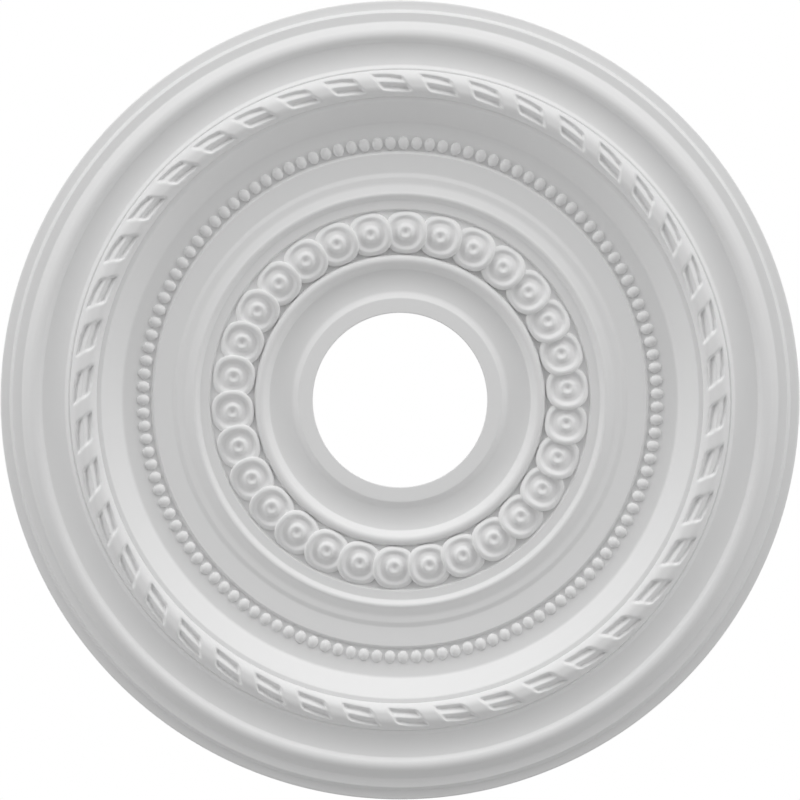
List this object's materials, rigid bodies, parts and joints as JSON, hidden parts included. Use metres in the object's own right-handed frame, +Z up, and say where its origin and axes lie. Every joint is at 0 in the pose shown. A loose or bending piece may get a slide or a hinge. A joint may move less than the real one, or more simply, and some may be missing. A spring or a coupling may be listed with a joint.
{
  "type": "ceiling rose",
  "caption": "Round moulded ceiling rose with a central cable hole, overlapping coins, a beaded ring and a reed-and-ribbon torus on its face, and a flat back.",
  "frame": {"origin": "centre of the cable hole, in the plane of the flat back that lies against the ceiling", "axes": "+Z up into the ceiling, square to the back; the ornament hangs down towards -Z; X and Y lie in the ceiling's plane"},
  "size_m": [0.4064, 0.4064, 0.0254],
  "materials": {
    "primed_moulding": "factory-primed matte white over moulded high-density polyurethane"
  },
  "bodies": {
    "root": {"ceiling_rose": "primed_moulding"}
  },
  "joints": []
}
